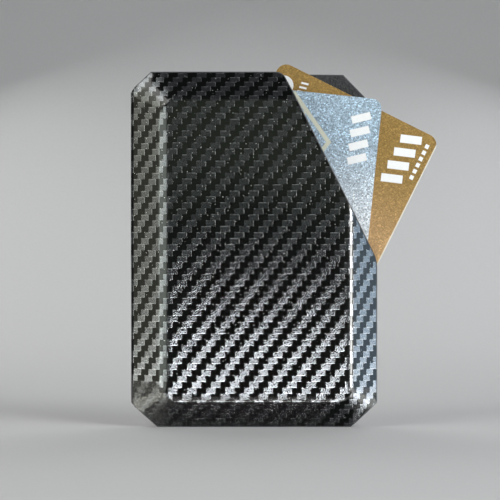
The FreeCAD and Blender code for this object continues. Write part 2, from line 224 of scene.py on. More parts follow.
def plan_mesh(chain, x_lines, z_lines, closed=False, circles=()):
    """Points and triangles over a convex outline: loops along its rim, then a grid.
    An open chain is closed by the seam between its ends."""
    moves = inset_moves(chain, closed)
    loops = [chain + moves * RIM_RADIUS * inset for inset in RIM_LOOPS]
    boundary = chain
    if not closed:
        seam = [loop[i] for loop in loops for i in (0, -1)]
        low, high = sorted((loops[-1][0][1], loops[-1][-1][1]))
        seam += [(chain[0][0], z) for z in z_lines if low + RIM_RADIUS < z < high - RIM_RADIUS]
        seam = np.array(sorted(seam, key=lambda point: -point[1]))
        boundary = np.concatenate([chain, seam])
        loops = [loop[1:-1] for loop in loops]
    grid = np.array(list(product(x_lines, z_lines)), float)
    inside = rim_distance(chain, grid, closed) > 2 * RIM_RADIUS
    if not closed:
        inside &= grid[:, 0] > chain[0][0] + RIM_RADIUS
    rings = []
    for centre, radius, sides in circles:
        rings.append(full_circle(centre, radius, sides))
        inside &= abs(np.linalg.norm(grid - centre, axis=1) - radius) > 2 * RIM_RADIUS
    points = np.concatenate([boundary, *rings, *loops, grid[inside]])
    edges = []
    first = 0
    for ring in [boundary, *rings]:
        edges += [(first + i, first + (i + 1) % len(ring)) for i in range(len(ring))]
        first += len(ring)
    flat_points = [Vector(point) for point in points]
    vertices, _, found = delaunay_2d_cdt(flat_points, edges, [], 0, TOLERANCE)[:3]
    placed = np.array([tuple(vertex) for vertex in vertices])
    triangles = np.array(found)
    a, b, c = (placed[triangles[:, i]] for i in range(3))
    area = (b[:, 0] - a[:, 0]) * (c[:, 1] - a[:, 1]) - (b[:, 1] - a[:, 1]) * (c[:, 0] - a[:, 0])
    triangles[area < 0] = triangles[area < 0][:, ::-1]
    middle = (a + b + c) / 3
    inside = (abs(area) > TOLERANCE) & (rim_distance(chain, middle, closed) > 0)
    return placed, triangles[inside]


def rim_drop(distance):
    """How far a skin falls back from its own height close to the rim."""
    short = np.clip(RIM_RADIUS - distance, 0, RIM_RADIUS)
    return RIM_RADIUS - np.sqrt(RIM_RADIUS ** 2 - short ** 2)


def open_edges(faces):
    """The edges with a face on one side only, each in its face's direction."""
    directed = {edge for face in faces.tolist() for edge in zip(face, face[1:] + face[:1])}
    return sorted(edge for edge in directed if edge[::-1] not in directed)


# ---- meshes


def solid_points(x, y, z):
    return np.stack(np.broadcast_arrays(x, y, z), 1)


def add_object(name, points, faces, materials, face_materials=None, uvs=None, sharp=50):
    """A smooth mesh object from points in millimetres."""
    mesh = bpy.data.meshes.new(name)
    corners = (np.asarray(points) * MM).tolist()
    mesh.from_pydata(corners, [], [tuple(map(int, face)) for face in faces])
    for material in materials:
        mesh.materials.append(material)
    if face_materials is not None:
        mesh.polygons.foreach_set("material_index", np.array(face_materials, np.int32))
    if uvs is not None:
        corner_points = np.zeros(len(mesh.loops), np.int32)
        mesh.loops.foreach_get("vertex_index", corner_points)
        layer = mesh.uv_layers.new(name=WEAVE_MAP)
        layer.data.foreach_set("uv", np.asarray(uvs, np.float32)[corner_points].ravel())
    mesh.polygons.foreach_set("use_smooth", np.ones(len(mesh.polygons), bool))
    mesh.set_sharp_from_angle(angle=math.radians(sharp))
    mesh.update()
    piece = bpy.data.objects.new(name, mesh)
    bpy.context.scene.collection.objects.link(piece)
    return piece


def soft_min(a, b, width):
    """The lower of two heights, rounded where they cross."""
    share = np.clip(0.5 + 0.5 * (b - a) / width, 0, 1)
    return b + (a - b) * share - width * share * (1 - share)


def soft_max(a, b, width):
    return -soft_min(-a, -b, width)


def ramp(value, low, high):
    """Smoothly from 0 at low to 1 at high."""
    share = np.clip((value - low) / (high - low), 0, 1)
    return share * share * (3 - 2 * share)


# ---- the moulded sheet


def outside_level(points, depth, inset):
    """Signed distance from the pocket walls' outline at each point's own depth."""
    down = FACE_DEPTH - depth

    def spread(wall):
        return down / math.tan(wall) - inset / math.sin(wall)

    growth = (BASE_CORNER_RADIUS - FACE_CORNER_RADIUS) / (FACE_DEPTH - FLANGE_DEPTH)
    radius = np.maximum(FACE_CORNER_RADIUS + growth * down - inset / math.sin(RIGHT_WALL), 0.05)

    def past(value, low, high):
        return abs(value - (low + high) / 2) - (high - low) / 2 + radius

    past_x = past(points[:, 0], FACE_LEFT_X - spread(LEFT_WALL), FACE_RIGHT_X + spread(RIGHT_WALL))
    past_z = past(points[:, 1], FACE_BOTTOM_Z - spread(BOTTOM_WALL), FACE_TOP_Z + spread(TOP_WALL))
    outside = np.hypot(np.maximum(past_x, 0), np.maximum(past_z, 0))
    return outside + np.minimum(np.maximum(past_x, past_z), 0) - radius


def wall_depth(points, inset):
    """The depth of the pocket's sloping walls, found by halving a range of depths."""
    low = np.full(len(points), -20.0)
    high = np.full(len(points), FACE_DEPTH + 4.0)
    for _ in range(40):
        middle = (low + high) / 2
        is_inside = outside_level(points, middle, inset) < 0
        low = np.where(is_inside, middle, low)
        high = np.where(is_inside, high, middle)
    return low


def fold_level(x, radius):
    """The depth of the folded sheet's round, and of the flat flange beyond it."""
    return FOLD_INNER_RADIUS + np.sqrt(radius ** 2 - np.minimum(0, x - FOLD_X) ** 2)


def moulding_wobble(points):
    """Slight hollows in the pressed face, away from its edges."""
    x, z = points[:, 0], points[:, 1]
    wave = np.sin(0.19 * x + 0.07 * z + 1.0) * np.cos(0.11 * z - 0.05 * x)
    wave += 0.5 * np.sin(0.41 * x - 0.23 * z) * np.sin(0.31 * z + 0.6)
    away = ramp(x, SEAM_X, SEAM_X + 12) * ramp(-x, -RIGHT_X, -RIGHT_X + 5)
    return HOLLOW_DEPTH * (wave - 1.5) * away


def outer_bend_radius(points):
    """The radius of the bends round the face, outside."""
    x, z = points[:, 0], points[:, 1]
    change = ramp(x, BEND_CHANGE_START_X, BEND_CHANGE_END_X)
    radius = LEFT_BEND_RADIUS + (RIGHT_BEND_RADIUS - LEFT_BEND_RADIUS) * change
    half = SHELL_HEIGHT / 2
    at_end = ramp(abs(z - half), half - END_BEND_START, half - END_BEND_FULL)
    return radius + (END_BEND_RADIUS - radius) * at_end


def skin_depth(points, inset, bend_radius):
    """The depth of the front leaf's outer skin, or of a skin that much further in."""
    x = points[:, 0]
    bend = bend_radius / RADIUS_PER_BLEND
    flange_bend = 0.01 + FLANGE_BEND_RADIUS / RADIUS_PER_BLEND * ramp(x, SEAM_X, SEAM_X + 3)
    depth = soft_min(wall_depth(points, inset), FACE_DEPTH - inset, bend)
    depth = soft_max(depth, fold_level(x, FOLD_OUTER_RADIUS - inset), flange_bend)
    return depth + moulding_wobble(points)


def left_edge_z(x, at_top):
    """The height where the left corners' chamfers cross x."""
    width, height = CHAMFER_TOP_LEFT if at_top else CHAMFER_BOTTOM_LEFT
    inside = np.clip((LEFT_X + width - x) / width, 0, 1) * height
    return SHELL_HEIGHT - inside if at_top else inside


def leaf_chain(seam_x, top_right, radii):
    """A leaf's trimmed outline from the seam's foot round to its head."""
    points = [
        (seam_x, float(left_edge_z(seam_x, False))),
        (LEFT_X + CHAMFER_BOTTOM_LEFT[0], 0),
        (RIGHT_X - CHAMFER_BOTTOM_RIGHT[0], 0),
        (RIGHT_X, CHAMFER_BOTTOM_RIGHT[1]),
        *top_right,
        (LEFT_X + CHAMFER_TOP_LEFT[0], SHELL_HEIGHT),
        (seam_x, float(left_edge_z(seam_x, True))),
    ]
    return rounded_chain(points, [0, 0, 0, 0, *radii, 0, 0], RIM_STEP)


# Spacing of mesh points along the rims, and of grid lines on walls, face and bends
RIM_STEP = 0.9
WALL_STEP = 0.8
FACE_STEP = 1.6
BEND_STEP = 0.4
BEND_REACH = 2.8


def graded_lines(low, high, bends):
    """Grid lines from low to high, close together near the bends."""
    lines = [low]
    while lines[-1] < high:
        here = lines[-1]
        near = any(abs(here - bend) < BEND_REACH for bend in bends)
        is_wall = not bends[0] < here < bends[1]
        lines.append(here + (BEND_STEP if near else WALL_STEP if is_wall else FACE_STEP))
    return lines[1:-1]


X_LINES = graded_lines(SEAM_X, RIGHT_X, (FACE_LEFT_X, FACE_RIGHT_X))
Z_LINES = graded_lines(0, SHELL_HEIGHT, (FACE_BOTTOM_Z, FACE_TOP_Z))

# The weave's cells along X and Z, and how much wider the walls' cloth is than their plan
WEAVE_MAP = "weave"
CELL_WIDTH = 1.44
CELL_HEIGHT = 1.8
LEFT_STRETCH = 1.25
RIGHT_STRETCH = 1.39
END_STRETCH = 1.25


def woven_x(x):
    """How far along the cloth X is, in millimetres."""
    left = np.minimum(0, x - FACE_LEFT_X) * (LEFT_STRETCH - 1)
    return x + left + np.maximum(0, x - FACE_RIGHT_X) * (RIGHT_STRETCH - 1)


def woven_z(z):
    low = np.minimum(0, z - FACE_BOTTOM_Z) * (END_STRETCH - 1)
    return z + low + np.maximum(0, z - FACE_TOP_Z) * (END_STRETCH - 1)


def two_skins(front, back, skin):
    """A closed sheet's points and faces: the front skin, the same behind, and the rim."""
    count = len(front)
    faces = [tuple(face) for face in skin] + [tuple(face[::-1] + count) for face in skin]
    faces += [(b, a, a + count, b + count) for a, b in open_edges(skin)]
    return np.concatenate([front, back]), faces


def front_skins(plan, rim):
    """The front leaf's outer and inner skins over points of its plan."""
    drop = rim_drop(rim)
    outer = skin_depth(plan, 0, outer_bend_radius(plan))
    outer = solid_points(plan[:, 0], INNER_Y - outer + drop, plan[:, 1])
    # The inner skin's seam lies further right than the outer one's
    shift = SHEET * math.sin(LEFT_WALL) * (1 - ramp(plan[:, 0], SEAM_X, SEAM_X + 4))
    moved = plan + np.stack([shift, np.zeros(len(plan))], 1)
    inner = skin_depth(moved, SHEET, INNER_BEND_RADIUS)
    inner = solid_points(moved[:, 0], INNER_Y - inner - drop, moved[:, 1])
    return outer, inner


# Material slots of the sheet, and how far in from the outline the trimmed rim reaches
WOVEN, PEBBLED, TRIMMED = range(3)
RIM_BAND = RIM_RADIUS * 0.6


def sheet_materials(faces, rim, front, back):
    """A slot for each face: front's or back's by its skin, or the trimmed rim's."""
    count = len(rim)
    chosen = []
    for face in faces:
        is_rim = len(face) == 4 or min(rim[i % count] for i in face) < RIM_BAND
        chosen.append(TRIMMED if is_rim else front if max(face) < count else back)
    return chosen


def make_front_leaf(materials):
    """The pressed leaf, with its seam's points from foot to head and its outline."""
    top_right = [
        (RIGHT_X, SHELL_HEIGHT - CUT_SIDE_HEIGHT),
        (RIGHT_X - CUT_TOP_WIDTH, SHELL_HEIGHT),
    ]
    chain = leaf_chain(SEAM_X, top_right, (CUT_SIDE_RADIUS, CUT_TOP_RADIUS))
    plan, triangles = plan_mesh(chain, X_LINES, Z_LINES)
    rim = rim_distance(chain, plan)
    outer, inner = front_skins(plan, rim)
    points, faces = two_skins(outer, inner, triangles)
    uvs = np.tile(np.stack([woven_x(plan[:, 0]), woven_z(plan[:, 1])], 1), (2, 1))
    chosen = sheet_materials(faces, rim, WOVEN, PEBBLED)
    piece = add_object("front_leaf_shell", points, faces, materials, chosen, uvs)
    seam = plan[abs(plan[:, 0] - SEAM_X) < 1e-4]
    return piece, seam[np.argsort(seam[:, 1])], chain


FOLD_RINGS = 48
# Rows of faces at each end of the fold that belong to its trimmed rim
FOLD_END_ROWS = 3


def fold_rings(seam, front_chain):
    """Rings of points round the fold, first outside and then inside, and their places
    in the weave.  Each side starts from the front leaf's own seam."""
    foot, head = seam[0][1], seam[-1][1]
    share = (seam[:, 1] - foot) / (head - foot)
    slope = math.cos(math.atan2(CHAMFER_TOP_LEFT[1], CHAMFER_TOP_LEFT[0]))
    rings = []
    uvs = []
    for side, radius in enumerate((FOLD_OUTER_RADIUS, FOLD_INNER_RADIUS)):
        for turn in np.linspace(0, 1, FOLD_RINGS + 1):
            angle = SEAM_ANGLE + turn * (math.pi / 2 - SEAM_ANGLE)
            x = FOLD_X + radius * math.cos(angle)
            low, high = left_edge_z(x, False), left_edge_z(x, True)
            z = low + share * (high - low)
            drop = rim_drop(np.minimum(z - low, high - z) * slope)
            reach = radius - drop if side == 0 else radius + drop
            y = FOLD_Y + reach * math.sin(angle)
            ring = solid_points(FOLD_X + reach * math.cos(angle), y, z)
            if turn == 0:
                ring = front_skins(seam, rim_distance(front_chain, seam))[side]
            rings.append(ring)
            along = woven_x(SEAM_X) - FOLD_OUTER_RADIUS * (SEAM_ANGLE - angle)
            up = woven_z(z) * (1 - turn) + z * turn
            uvs.append(np.stack([np.full(len(z), along), up], 1))
    return rings, uvs


def make_spine_fold(seam, front_chain, materials):
    """The folded round, and how far along the weave its far seam lies."""
    rings, uvs = fold_rings(seam, front_chain)
    rows = len(seam)
    first = np.arange(FOLD_RINGS * rows).reshape(-1, rows)[:, :-1].ravel()
    quads = np.stack([first, first + 1, first + rows + 1, first + rows], 1)
    points, faces = two_skins(*np.split(np.concatenate(rings), 2), quads)
    row = first % rows
    at_end = np.minimum(row, rows - 2 - row) < FOLD_END_ROWS
    chosen = [*np.where(at_end, TRIMMED, WOVEN), *np.where(at_end, TRIMMED, PEBBLED)]
    chosen += [TRIMMED] * (len(faces) - len(chosen))
    piece = add_object("spine_fold_shell", points, faces, materials, chosen, np.concatenate(uvs))
    return piece, uvs[FOLD_RINGS][0][0]


HOLE_SIDES = 48
BACK_GRID_STEP = 2.5
BACK_GRID_SHIFT = 0.7


def post_hole_rings(plan, centre, first):
    """Four rings of point numbers down a post's hole, through a wide recess and a
    narrow bore.  The two round the recess's floor are new: numbered from first."""
    from_centre = np.linalg.norm(plan - centre, axis=1)
    angles = np.arctan2(plan[:, 1] - centre[1], plan[:, 0] - centre[0])
    rings = []
    floor = []
    for radius in POST_RADII:
        ring = np.flatnonzero(abs(from_centre - radius) < 1e-3)
        ring = ring[np.argsort(angles[ring])]
        rings.append(ring)
        floor.append(solid_points(plan[ring, 0], INNER_Y + POST_RECESS_DEPTH, plan[ring, 1]))
    wide, narrow = rings
    outer_floor = first + np.arange(len(wide))
    inner_floor = first + len(wide) + np.arange(len(narrow))
    return [wide, outer_floor, inner_floor, narrow + len(plan)], np.concatenate(floor)


def make_back_leaf(seam_u, materials):
    """The flat leaf, with a stepped hole for each post."""
    top_z = SHELL_HEIGHT - BACK_TOP_DROP
    top_right = [
        (RIGHT_X, top_z - CHAMFER_TOP_RIGHT[1]),
        (RIGHT_X - CHAMFER_TOP_RIGHT[0], top_z),
    ]
    chain = leaf_chain(FOLD_X, top_right, (0, 0))
    centres = [np.array((SCREW_X, z)) for z in SCREW_HEIGHTS]
    circles = [(centre, radius, HOLE_SIDES) for centre, radius in product(centres, POST_RADII)]
    lines = np.arange(0, SHELL_HEIGHT, BACK_GRID_STEP)
    plan, triangles = plan_mesh(chain, LEFT_X + lines, lines + BACK_GRID_SHIFT, circles=circles)
    rim = rim_distance(chain, plan)
    drop = rim_drop(rim)
    count = len(plan)
    front = solid_points(plan[:, 0], INNER_Y + drop, plan[:, 1])
    back = solid_points(plan[:, 0], BACK_Y - drop, plan[:, 1])
    middles = plan[triangles].mean(1)

    def outside_holes(radius):
        away = [np.linalg.norm(middles - centre, axis=1) > radius for centre in centres]
        return triangles[np.all(away, axis=0)]

    faces = [tuple(t) for t in outside_holes(POST_RECESS_RADIUS)]
    faces += [tuple(t[::-1] + count) for t in outside_holes(POST_HOLE_RADIUS)]
    faces += [(b, a, a + count, b + count) for a, b in open_edges(triangles)]
    chosen = sheet_materials(faces, rim, PEBBLED, WOVEN)
    points = [front, back]
    for centre in centres:
        rings, floor = post_hole_rings(plan, centre, sum(map(len, points)))
        points.append(floor)
        for outer, inner in zip(rings, rings[1:]):
            for i in range(HOLE_SIDES):
                j = (i + 1) % HOLE_SIDES
                faces.append((outer[i], outer[j], inner[j], inner[i]))
                chosen.append(TRIMMED)
    points = np.concatenate(points)
    uvs = np.stack([seam_u - (points[:, 0] - FOLD_X), points[:, 2]], 1)
    return add_object("back_leaf_shell", points, faces, materials, chosen, uvs)


# ---- note clip: one bent strip, as in the CAD source

CLIP_STEEL = 0.8
CLIP_CENTRE_Z = 56.0
CLIP_FOOT_WIDTH = 20.0
CLIP_TIP_WIDTH = 15.0
CLIP_CORNER_RADIUS = 3.0
CLIP_TIP_RADIUS = 4.5
CLIP_START_X = -32.0
CLIP_TAPER_X = -19.5
CLIP_TIP_X = 31.5
# Spacing of mesh points along its rim, across it both ways, and along its bent path
CLIP_RIM_STEP = 0.7
CLIP_X_STEP = 0.45
CLIP_Z_STEP = 1.6
CLIP_PATH_STEP = 0.2
# Each bend of the strip: X, rise above the foot, and radius
CLIP_BENDS = [
    (CLIP_START_X, 0.0, 0),
    (-18.0, 0.0, 4.0),
    (-12.5, 3.2, 4.5),
    (8.0, 2.7, 110.0),
    (24.0, 0.1, 6.0),
    (CLIP_TIP_X, 2.6, 0),
]


def make_note_clip(material):
    """The strip's plan, lifted onto its bent path."""
    foot, tip = CLIP_FOOT_WIDTH / 2, CLIP_TIP_WIDTH / 2
    lower = [(CLIP_START_X, foot), (CLIP_TAPER_X, foot), (CLIP_TIP_X, tip)]
    outline = [(x, CLIP_CENTRE_Z - half) for x, half in lower]
    outline += [(x, CLIP_CENTRE_Z + half) for x, half in lower[::-1]]
    radii = [CLIP_CORNER_RADIUS, 0, CLIP_TIP_RADIUS]
    radii += radii[::-1]
    chain = rounded_chain(outline, radii, CLIP_RIM_STEP, closed=True)
    x_lines = np.arange(CLIP_START_X, CLIP_TIP_X, CLIP_X_STEP)
    z_lines = CLIP_CENTRE_Z + np.arange(-foot, foot, CLIP_Z_STEP)
    plan, triangles = plan_mesh(chain, x_lines, z_lines, closed=True)
    bends = [bend[:2] for bend in CLIP_BENDS]
    path = rounded_chain(bends, [bend[2] for bend in CLIP_BENDS], CLIP_PATH_STEP)
    slope = np.gradient(path[:, 1], path[:, 0])
    x = plan[:, 0]
    middle = BACK_Y + CLIP_STEEL / 2 + np.interp(x, path[:, 0], path[:, 1])
    slope = np.interp(x, path[:, 0], slope)
    half = CLIP_STEEL / 2 * np.hypot(1, slope) - rim_drop(rim_distance(chain, plan, True))
    front = solid_points(x, middle - half, plan[:, 1])
    back = solid_points(x, middle + half, plan[:, 1])
    points, faces = two_skins(front, back, triangles)
    return add_object("note_clip_strip", points, faces, [material])


# ---- prints on the cards: generic bars of thin ink

CARD_WIDTH = 53.98
CARD_LENGTH = 85.6
# How far ink stands above the card's face, and reaches into it
INK = 0.015
# Longer than any side of a patch, so that none is cut up
WHOLE_RUN = 1e3


class CardPlace:
    """Where a card stands: its centre, its turn, and its front face."""

    def __init__(self, centre_x, centre_z, degrees, depth):
        self.centre = np.array((centre_x, centre_z))
        turn = math.radians(degrees)
        self.across = np.array((math.cos(turn), -math.sin(turn)))
        self.along = np.array((math.sin(turn), math.cos(turn)))
        self.front_y = INNER_Y - depth

    def at(self, places):
        """The X and Z of places measured across and along the card from its centre."""
        return self.centre + np.asarray(places) @ (self.across, self.along)


def band_outline(points, width):
    """A band of even width along a bent line, with square ends and mitred corners."""
    points = np.array(points, float)
    moves = mitres(points) * width / 2
    return [*(points - moves), *(points + moves)[::-1]]


def parallel_bars(start, end, rise, heights, width):
    """Bars across a card from start to end, one at each height, that climb by rise."""
    return [band_outline([(start, low), (end, low + rise)], width) for low in heights]


def rounded_patch(centre, width, height, radius):
    half_w, half_h = width / 2, height / 2
    corners = [(-half_w, -half_h), (half_w, -half_h), (half_w, half_h), (-half_w, half_h)]
    moved = [np.add(centre, corner) for corner in corners]
    return list(rounded_chain(moved, [radius] * 4, WHOLE_RUN, closed=True))


def make_prints(name, place, outlines, material):
    """Flat patches on a card's front, as one mesh of thin slabs."""
    points = []
    faces = []
    for outline in outlines:
        x, z = place.at(outline).T
        front, back = (solid_points(x, place.front_y + side * INK, z) for side in (-1, 1))
        slab, sides = two_skins(front, back, np.arange(len(outline))[None])
        faces += [tuple(np.add(face, len(points))) for face in sides]
        points += [*slab]
    return add_object(name, points, faces, [material], sharp=30)


# ---- materials


class Graph:
    """Builds one material's nodes around a Principled shader."""

    def __init__(self, name):
        self.material = bpy.data.materials.new(name)
        self.material.use_nodes = True
        self.tree = self.material.node_tree
        self.tree.nodes.clear()
        self.shader = self.add("BsdfPrincipled")
        output = self.add("OutputMaterial")
        self.tree.links.new(self.shader.outputs[0], output.inputs[0])

    def add(self, kind, *values, **settings):
        """A node with these settings and, in order, these values or links as inputs."""
        node = self.tree.nodes.new("ShaderNode" + kind)
        for name, value in settings.items():
            setattr(node, name, value)
        for socket, value in zip(node.inputs, values):
            self.put(socket, value)
        return node

    def put(self, socket, value):
        if isinstance(value, bpy.types.NodeSocket):
            self.tree.links.new(value, socket)
        else:
            socket.default_value = value

    def surface(self, **values):
        """Sets sockets of the shader, each named in lower case with underscores."""
        for name, value in values.items():
            self.put(self.shader.inputs[name.replace("_", " ").title()], value)
        return self.material

    def math(self, operation, *values):
        return self.add("Math", *values, operation=operation).outputs[0]

    plus = partialmethod(math, "ADD")
    minus = partialmethod(math, "SUBTRACT")
    times = partialmethod(math, "MULTIPLY")
    # The first times the second, plus the third
    times_plus = partialmethod(math, "MULTIPLY_ADD")

    def vector(self, operation, *values):
        return self.add("VectorMath", *values, operation=operation).outputs[0]

    def mix(self, share, a, b, kind="FLOAT"):
        first, result = {"FLOAT": (2, 0), "VECTOR": (4, 1), "RGBA": (6, 2)}[kind]
        node = self.add("Mix", share, data_type=kind)
        self.put(node.inputs[first], a)
        self.put(node.inputs[first + 1], b)
        return node.outputs[result]

    def tint(self, share, low, high):
        """From the colour low to the colour high."""
        return self.mix(share, low, high, "RGBA")

    def combine(self, x, y, z=0.0):
        return self.add("CombineXYZ", x, y, z).outputs[0]

    def split(self, vector):
        return self.add("SeparateXYZ", vector).outputs

    def millimetres(self):
        """The object's own coordinates, which move with the piece, in millimetres."""
        return self.vector("MULTIPLY", self.add("TexCoord").outputs["Object"], (1000, 1000, 1000))

    def noise(self, vector, scale, detail, roughness=0.5):
        return self.add("TexNoise", vector, 0.0, scale, detail, roughness).outputs[0]

    def streaks(self, stretch, detail, roughness=0.5):
        """Noise that changes this fast along X, Y and Z."""
        return self.noise(self.vector("MULTIPLY", self.millimetres(), stretch), 1, detail, roughness)

    def cells(self, vector, scale):
        """Voronoi cells: distance to the nearest centre, and a random colour."""
        node = self.add("TexVoronoi", vector, 0.0, scale)
        return node.outputs["Distance"], node.outputs["Color"]

    def step(self, value, low, high, to_low=0.0, to_high=1.0):
        """Smoothly from to_low, where the value is low, to to_high, where it is high."""
        values = (value, low, high, to_low, to_high)
        return self.add("MapRange", *values, interpolation_type="SMOOTHSTEP").outputs[0]

    def bump(self, height, depth_mm):
        node = self.add("Bump")
        node.inputs["Distance"].default_value = depth_mm * MM
        self.put(node.inputs["Height"], height)
        return node.outputs[0]


def grey(value, warmth=0.0):
    """A grey, with a little more red and less blue where warmth is above nothing."""
    return (value * (1 + warmth), value, value * (1 - warmth), 1)


def twill(g, u, v):
    """A 2/2 twill: weft floats two cells along X, and warp two along Z.  Gives 1 on
    the weft, the floats' shape, a random tone for each, and the painted highlight
    along each weft float's top and right edges."""
    wander = g.noise(g.combine(u, v), 0.05, 1)
    across = g.math("DIVIDE", u, CELL_WIDTH)
    up = g.math("DIVIDE", g.plus(v, g.times(wander, 0.5)), CELL_HEIGHT)
    column, row = g.math("FLOOR", across), g.math("FLOOR", up)
    in_column, in_row = g.math("FRACT", across), g.math("FRACT", up)
    phase = g.math("FLOORED_MODULO", g.minus(column, row), 4.0)
    is_weft = g.math("LESS_THAN", phase, 1.5)
    # Along and across each float, from 0 to 1
    weft_along = g.times(g.plus(phase, in_column), 0.5)
    warp_along = g.times(g.plus(g.minus(3.0, phase), in_row), 0.5)
    along = g.mix(is_weft, warp_along, weft_along)
    sideways = g.mix(is_weft, in_column, in_row)
    # Each float is named by its first cell
    weft_name = g.combine(g.minus(column, phase), row)
    warp_name = g.combine(column, g.plus(g.minus(row, 3.0), phase), 7.0)
    random = g.add("TexWhiteNoise", g.mix(is_weft, warp_name, weft_name, "VECTOR"))

    def pillow(position, power):
        centred = g.math("ABSOLUTE", g.times_plus(position, 2.0, -1.0))
        return g.minus(1.0, g.math("POWER", centred, power))

    # The warp lies lower, and flat
    height = g.times(pillow(along, 24.0), pillow(sideways, 14.0))
    height = g.times(height, g.mix(is_weft, 0.12, 1.0))
    # Painted highlight: a lighter line near the top and right edges of the weft floats, in patches,
    # standing in for light caught there
    painted_lip_highlight = g.math("MAXIMUM", g.step(in_row, 0.84, 0.90), g.step(weft_along, 0.91, 0.94))
    patchy = g.step(g.noise(g.combine(u, v, 4.0), 0.9, 3), 0.38, 0.60)
    painted_lip_highlight = g.times(g.times(painted_lip_highlight, is_weft), patchy)
    return is_weft, height, random.outputs["Value"], painted_lip_highlight


def float_fibres(g, u, v, is_weft):
    weft_fibres = g.combine(g.times(u, 1.2), g.times(v, 7.0))
    warp_fibres = g.combine(g.times(u, 7.0), g.times(v, 1.2), 3.0)
    return g.noise(g.mix(is_weft, warp_fibres, weft_fibres, "VECTOR"), 1.0, 3, 0.65)


def lacquer_dust(g, u, v):
    distance, random = g.cells(g.combine(u, v), 1.3)
    picked = g.math("GREATER_THAN", g.split(random)[0], 0.80)
    return g.times(picked, g.step(distance, 0.16, 0.08))


# How much higher the scuffs and painted shade climb on the left, and over what width they fade right
SCUFF_AND_SHADE_CORNER_RISE = 4.5
SCUFF_AND_SHADE_FADE = 12.0


def scuffs_and_painted_shade(g, u, v):
    """The scuffs and painted shade on the pocket's bottom wall and up its left corner,
    how broken the lacquer is there and in the right corner, and the scratches."""
    _, y, _ = g.split(g.millimetres())
    on_front = g.step(y, -1.0, -2.0)
    at_corner = g.step(g.minus(FACE_LEFT_X, u), -2.0, 3.0)
    below = g.times_plus(at_corner, SCUFF_AND_SHADE_CORNER_RISE, g.minus(FACE_BOTTOM_Z, v))
    faded = g.step(u, FACE_RIGHT_X, FACE_RIGHT_X - SCUFF_AND_SHADE_FADE, 0.2, 0.8)
    scuff_and_painted_shade = g.times(g.step(below, -2.4, -0.4), on_front)
    scuff_and_painted_shade = g.times(scuff_and_painted_shade, g.mix(at_corner, faded, 1.0))
    past_right = g.step(u, FACE_RIGHT_X, FACE_RIGHT_X + 1.5)
    broken = g.math("MAXIMUM", scuff_and_painted_shade, g.times(past_right, g.step(below, -5.0, -2.0)))
    scratches = g.noise(g.combine(u, v, 5.0), 3.0, 4, 0.75)
    return scuff_and_painted_shade, broken, scratches


def weave_material():
    """Carbon-look twill under clear lacquer.  Each thread shines across its own
    fibres: the weft up and down, and the warp to the sides."""
    g = Graph("carbon_weave")
    u, v, _ = g.split(g.add("UVMap", uv_map=WEAVE_MAP).outputs[0])
    is_weft, height, tone, painted_lip_highlight = twill(g, u, v)
    fibres = float_fibres(g, u, v, is_weft)
    mottle = g.noise(g.combine(u, v, 9.0), 2.2, 2)
    smudge = g.noise(g.combine(u, v), 0.09, 3)
    dust = lacquer_dust(g, u, v)
    scuff_and_painted_shade, broken, scratches = scuffs_and_painted_shade(g, u, v)

    level = g.times_plus(mottle, 0.8, g.times_plus(fibres, 0.6, -0.1))
    level = g.times_plus(tone, 0.25, level)
    weft = g.tint(level, (0.025, 0.029, 0.031, 1), (0.21, 0.22, 0.23, 1))
    warp = g.tint(level, grey(0.002), (0.020, 0.021, 0.019, 1))
    colour = g.tint(is_weft, warp, weft)
    # Real dust specks, and the painted highlights on the weft's edges, both painted light grey
    dust_and_painted_highlight = g.math("MAXIMUM", dust, g.times(painted_lip_highlight, 0.45))
    colour = g.tint(dust_and_painted_highlight, colour, (0.42, 0.44, 0.43, 1))
    colour = g.tint(dust, colour, (0.86, 0.88, 0.84, 1))
    # The bottom wall and lower left corner: scuffed, and painted almost black as painted shade, with
    # light scratches
    scratched = g.step(scratches, 0.48, 0.72)
    worn_and_painted_shade = g.tint(scratched, grey(0.003), (0.22, 0.22, 0.20, 1))
    colour = g.tint(g.times(scuff_and_painted_shade, 0.85), colour, worn_and_painted_shade)

    rough = g.mix(is_weft, 0.13, 0.20)
    rough = g.plus(rough, g.times(smudge, 0.04))
    rough = g.times_plus(fibres, 0.05, rough)
    relief = g.times_plus(fibres, 0.02, height)
    lacquer_relief = g.times_plus(g.times(broken, scratches), 9.0, relief)
    along_u = g.add("Tangent", direction_type="UV_MAP", uv_map=WEAVE_MAP).outputs[0]
    along_v = g.vector("CROSS_PRODUCT", g.add("NewGeometry").outputs["Normal"], along_u)
    return g.surface(
        base_color=colour, metallic=g.mix(dust_and_painted_highlight, 0.95, 0.35), roughness=rough,
        anisotropic=0.9, tangent=g.mix(is_weft, along_u, along_v, "VECTOR"),
        normal=g.bump(relief, 0.016), coat_weight=1.0, coat_roughness=0.12,
        coat_normal=g.bump(lacquer_relief, 0.03),
    )


def pebble_material():
    """The sheet's matt inside, with a fine leathery grain."""
    g = Graph("pebbled_inside")
    where = g.millimetres()
    distance, random = g.cells(where, 1.9)
    grain = g.plus(distance, g.times(g.noise(where, 5.0, 3), 0.5))
    cloud = g.noise(where, 0.12, 3)
    tone = g.times_plus(g.split(random)[0], 1.0, g.times(cloud, 0.2))
    colour = g.tint(tone, grey(0.005, -0.06), grey(0.030, -0.06))
    rough = g.times_plus(cloud, 0.2, 0.52)
    return g.surface(base_color=colour, roughness=rough, normal=g.bump(grain, 0.12))


